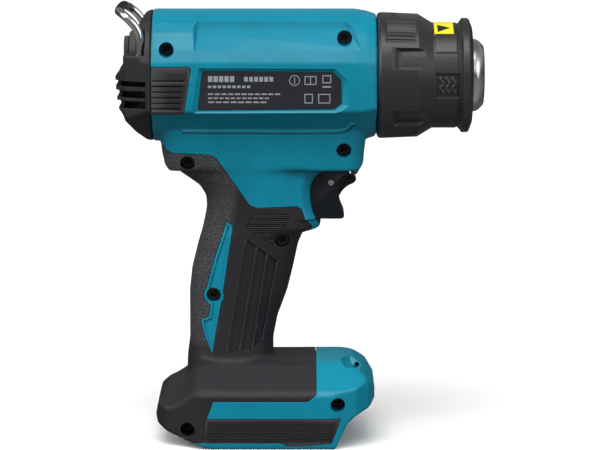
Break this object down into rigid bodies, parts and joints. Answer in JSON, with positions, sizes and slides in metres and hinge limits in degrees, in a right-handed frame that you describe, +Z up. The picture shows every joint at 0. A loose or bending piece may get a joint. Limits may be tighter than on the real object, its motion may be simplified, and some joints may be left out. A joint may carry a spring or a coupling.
{
  "type": "cordless heat gun",
  "caption": "Pistol-grip cordless heat gun with a round nozzle guard, folding wire hook, rear dial and a foot that takes a slide-in battery pack.",
  "frame": {"origin": "bottom centre of the object's box, on the surface the foot stands on", "axes": "+X out of the nozzle, +Z up, -Y the tool's right side with the screw heads"},
  "size_m": [0.1843, 0.078, 0.2204],
  "materials": {
    "teal_plastic": "fine-grained moulded nylon, teal",
    "black_elastomer": "soft matt overmould",
    "black_plastic": "fine-grained moulded nylon, black",
    "grey_plastic": "satin, dark grey",
    "trigger_plastic": "satin, near black",
    "polished_steel": "polished stainless tube",
    "wire_chrome": "bright plated wire",
    "screw_steel": "dark plated steel",
    "plate_black": "satin printed film",
    "caution_yellow": "satin film",
    "mica": "rolled mica sheet",
    "ceramic": "unglazed ceramic",
    "heating_wire": "oxidised resistance wire",
    "board_green": "lacquered circuit board",
    "contact_brass": "bright contact metal",
    "clear_lens": "clear moulded lens",
    "natural_plastic": "unpigmented moulding",
    "lead_red": "silicone insulation",
    "lead_black": "silicone insulation"
  },
  "bodies": {
    "housing": {"housing_right": "teal_plastic", "housing_left": "teal_plastic", "grip_overmould_right": "black_elastomer", "grip_overmould_left": "black_elastomer", "bumper_pad_right": "black_elastomer", "bumper_pad_left": "black_elastomer", "rating_plate_right": "plate_black", "rating_plate_left": "plate_black", "side_pad_right": "black_plastic", "side_pad_left": "black_plastic", "rear_cover": "black_plastic", "dial_seat": "grey_plastic", "dial_potentiometer": "natural_plastic", "airflow_switch_body": "natural_plastic", "nozzle_tube": "polished_steel", "nozzle_holder": "natural_plastic", "heat_shield": "polished_steel", "mica_tube": "mica", "heater_former": "ceramic", "heater_coil": "heating_wire", "thermocouple": "screw_steel", "fan_motor": "screw_steel", "fan_duct": "natural_plastic", "motor_mount": "natural_plastic", "trigger_spring": "wire_chrome", "switch_body": "natural_plastic", "lamp_bezel": "black_plastic", "lamp_lens": "clear_lens", "controller_board": "board_green", "terminal_block": "black_plastic", "battery_blade_negative": "contact_brass", "battery_blade_positive": "contact_brass", "heater_lead": "lead_red", "motor_lead": "lead_black", "housing_screw_1": "screw_steel", "housing_screw_2": "screw_steel", "housing_screw_3": "screw_steel", "housing_screw_4": "screw_steel", "housing_screw_5": "screw_steel", "housing_screw_6": "screw_steel", "housing_screw_7": "screw_steel", "housing_screw_8": "screw_steel"},
    "trigger": {"trigger": "trigger_plastic", "lever_pin": "wire_chrome"},
    "lock_lever": {"lock_lever": "trigger_plastic"},
    "hook": {"hook": "wire_chrome"},
    "temperature_dial": {"temperature_dial": "grey_plastic"},
    "airflow_switch": {"airflow_switch": "grey_plastic"},
    "fan": {"fan_impeller": "black_plastic"},
    "protector_sleeve": {"protector_sleeve": "black_plastic", "caution_sticker": "caution_yellow"}
  },
  "joints": [
    {"name": "trigger_slide", "type": "slide", "parent": "housing", "child": "trigger", "axis": [-1, 0, 0], "range_m": [0, 0.0065], "stiffness_N_per_m": 600, "springref_m": -0.004, "deforming": ["trigger_spring"]},
    {"name": "lock_lever_pivot", "type": "hinge", "parent": "trigger", "child": "lock_lever", "pos_m": [0.0156, 0, 0.1312], "axis": [0, 1, 0], "range_deg": [0, 8], "stiffness_Nm_per_rad": 0.05, "springref_deg": -11.46},
    {"name": "hook_pivot", "type": "hinge", "parent": "housing", "child": "hook", "pos_m": [-0.0795, 0, 0.1935], "axis": [0, -1, 0], "range_deg": [0, 90]},
    {"name": "dial_turn", "type": "hinge", "parent": "housing", "child": "temperature_dial", "pos_m": [-0.087, 0, 0.1965], "axis": [1, 0, 0], "range_deg": [0, 270]},
    {"name": "airflow_slide", "type": "slide", "parent": "housing", "child": "airflow_switch", "axis": [0, 1, 0], "range_m": [0, 0.0028]},
    {"name": "fan_spin", "type": "hinge", "parent": "housing", "child": "fan", "pos_m": [-0.02, 0, 0.1845], "axis": [1, 0, 0], "continuous": true},
    {"name": "sleeve_slide", "type": "slide", "parent": "housing", "child": "protector_sleeve", "axis": [1, 0, 0], "range_m": [0, 0.06]}
  ]
}
